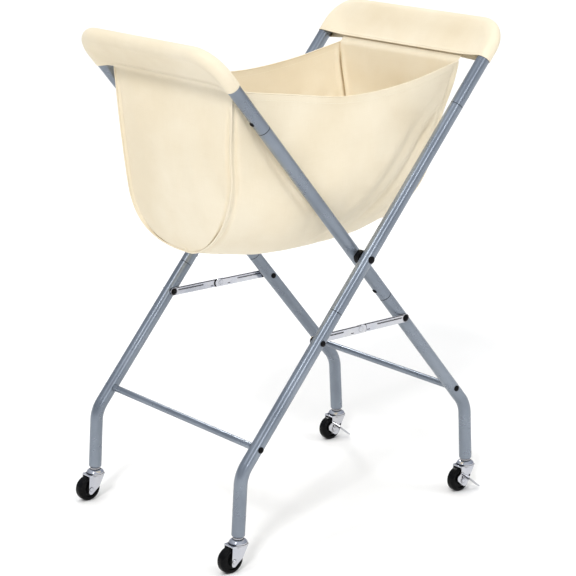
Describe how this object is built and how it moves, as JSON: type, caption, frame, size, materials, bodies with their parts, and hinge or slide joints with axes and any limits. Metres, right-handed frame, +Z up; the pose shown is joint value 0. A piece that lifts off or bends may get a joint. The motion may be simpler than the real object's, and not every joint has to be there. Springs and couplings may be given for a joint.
{
  "type": "laundry cart",
  "caption": "Folding X-frame laundry cart: a canvas bag hung between two tube hoops that cross at a scissor pivot, folding side braces and four swivel casters, two with brakes.",
  "frame": {"origin": "on the floor, midway between the four legs, straight below the scissor pivots", "axes": "+Z up; X is the folding direction, +X the side where the outer frame's top bar and the braked casters are; -Y is the near side"},
  "size_m": [0.6296, 0.4382, 0.8446],
  "materials": {
    "silver_paint": "silver-grey metallic powder coat, satin",
    "bright_zinc": "bright zinc plate",
    "black_fittings": "black moulded plastic and blackened screws",
    "wheel_black": "black moulded nylon, semi-gloss",
    "canvas": "natural cotton canvas, plain weave"
  },
  "bodies": {
    "outer_frame": {"bag_panel": "canvas", "outer_bag_end": "canvas", "outer_brace_bolts": "black_fittings", "outer_brace_caps": "black_fittings", "outer_brace_spacers": "black_fittings", "outer_caster_stems": "bright_zinc", "outer_crossbar": "silver_paint", "outer_crossbar_bolts": "black_fittings", "outer_joint_screws": "black_fittings", "outer_leg_far": "silver_paint", "outer_leg_near": "silver_paint", "outer_pivot_saddles": "black_fittings", "outer_side_tube_far": "silver_paint", "outer_side_tube_near": "silver_paint", "outer_sleeve": "canvas", "outer_top_bow": "silver_paint", "pivot_bolts": "black_fittings", "pivot_nuts": "black_fittings"},
    "inner_frame": {"inner_bag_end": "canvas", "inner_brace_bolts": "black_fittings", "inner_brace_caps": "black_fittings", "inner_brace_spacers": "black_fittings", "inner_caster_stems": "bright_zinc", "inner_crossbar": "silver_paint", "inner_crossbar_bolts": "black_fittings", "inner_joint_screws": "black_fittings", "inner_leg_far": "silver_paint", "inner_leg_near": "silver_paint", "inner_pivot_saddles": "black_fittings", "inner_side_tube_far": "silver_paint", "inner_side_tube_near": "silver_paint", "inner_sleeve": "canvas", "inner_top_bow": "silver_paint"},
    "brake_far": {"brake_lever_far": "bright_zinc"},
    "brake_near": {"brake_lever_near": "bright_zinc"},
    "inner_brace_far": {"inner_brace_rivet_far": "bright_zinc", "inner_brace_strip_far": "bright_zinc"},
    "inner_brace_near": {"inner_brace_rivet_near": "bright_zinc", "inner_brace_strip_near": "bright_zinc"},
    "inner_caster_far": {"brake_stop_far": "black_fittings", "inner_axle_far": "bright_zinc", "inner_fork_far": "bright_zinc"},
    "inner_caster_near": {"brake_stop_near": "black_fittings", "inner_axle_near": "bright_zinc", "inner_fork_near": "bright_zinc"},
    "inner_wheel_far": {"inner_wheel_far": "wheel_black"},
    "inner_wheel_near": {"inner_wheel_near": "wheel_black"},
    "outer_brace_far": {"outer_brace_rivet_far": "bright_zinc", "outer_brace_strip_far": "bright_zinc"},
    "outer_brace_near": {"outer_brace_rivet_near": "bright_zinc", "outer_brace_strip_near": "bright_zinc"},
    "outer_caster_far": {"outer_axle_far": "bright_zinc", "outer_fork_far": "bright_zinc"},
    "outer_caster_near": {"outer_axle_near": "bright_zinc", "outer_fork_near": "bright_zinc"},
    "outer_wheel_far": {"outer_wheel_far": "wheel_black"},
    "outer_wheel_near": {"outer_wheel_near": "wheel_black"}
  },
  "joints": [
    {"name": "frame_fold", "type": "hinge", "parent": "outer_frame", "child": "inner_frame", "pos_m": [0, 0, 0.4733], "axis": [0, 1, 0], "range_deg": [0, 51], "deforming": ["bag_panel"]},
    {"name": "outer_brace_near_fold", "type": "hinge", "parent": "outer_frame", "child": "outer_brace_near", "pos_m": [-0.10298, -0.2031, 0.3507], "axis": [0, 1, 0], "range_deg": [-41.55, 0]},
    {"name": "inner_brace_near_fold", "type": "hinge", "parent": "inner_frame", "child": "inner_brace_near", "pos_m": [0.10298, -0.175, 0.3507], "axis": [0, 1, 0], "range_deg": [0, 41.55]},
    {"name": "outer_brace_far_fold", "type": "hinge", "parent": "outer_frame", "child": "outer_brace_far", "pos_m": [-0.10298, 0.2031, 0.3507], "axis": [0, 1, 0], "range_deg": [-41.55, 0]},
    {"name": "inner_brace_far_fold", "type": "hinge", "parent": "inner_frame", "child": "inner_brace_far", "pos_m": [0.10298, 0.175, 0.3507], "axis": [0, 1, 0], "range_deg": [0, 41.55]},
    {"name": "outer_swivel_near", "type": "hinge", "parent": "outer_frame", "child": "outer_caster_near", "pos_m": [-0.269, -0.2031, 0.044], "axis": [0, 0, 1], "continuous": true},
    {"name": "outer_wheel_near_spin", "type": "hinge", "parent": "outer_caster_near", "child": "outer_wheel_near", "pos_m": [-0.2855, -0.2031, 0.022], "axis": [0, 1, 0], "continuous": true},
    {"name": "outer_swivel_far", "type": "hinge", "parent": "outer_frame", "child": "outer_caster_far", "pos_m": [-0.269, 0.2031, 0.044], "axis": [0, 0, 1], "continuous": true},
    {"name": "outer_wheel_far_spin", "type": "hinge", "parent": "outer_caster_far", "child": "outer_wheel_far", "pos_m": [-0.2855, 0.2031, 0.022], "axis": [0, 1, 0], "continuous": true},
    {"name": "inner_swivel_near", "type": "hinge", "parent": "inner_frame", "child": "inner_caster_near", "pos_m": [0.269, -0.175, 0.044], "axis": [0, 0, 1], "continuous": true},
    {"name": "inner_wheel_near_spin", "type": "hinge", "parent": "inner_caster_near", "child": "inner_wheel_near", "pos_m": [0.2525, -0.175, 0.022], "axis": [0, 1, 0], "continuous": true},
    {"name": "inner_swivel_far", "type": "hinge", "parent": "inner_frame", "child": "inner_caster_far", "pos_m": [0.269, 0.175, 0.044], "axis": [0, 0, 1], "continuous": true},
    {"name": "inner_wheel_far_spin", "type": "hinge", "parent": "inner_caster_far", "child": "inner_wheel_far", "pos_m": [0.2525, 0.175, 0.022], "axis": [0, 1, 0], "continuous": true},
    {"name": "brake_near_release", "type": "hinge", "parent": "inner_caster_near", "child": "brake_near", "pos_m": [0.2525, -0.175, 0.022], "axis": [0, 1, 0], "range_deg": [-18, 0]},
    {"name": "brake_far_release", "type": "hinge", "parent": "inner_caster_far", "child": "brake_far", "pos_m": [0.2525, 0.175, 0.022], "axis": [0, 1, 0], "range_deg": [-18, 0]}
  ],
  "couplings": [
    {"joint": "outer_brace_near_fold", "follows": "frame_fold", "ratio": -0.81453},
    {"joint": "inner_brace_near_fold", "follows": "frame_fold", "ratio": 0.81453},
    {"joint": "outer_brace_far_fold", "follows": "frame_fold", "ratio": -0.81453},
    {"joint": "inner_brace_far_fold", "follows": "frame_fold", "ratio": 0.81453}
  ]
}
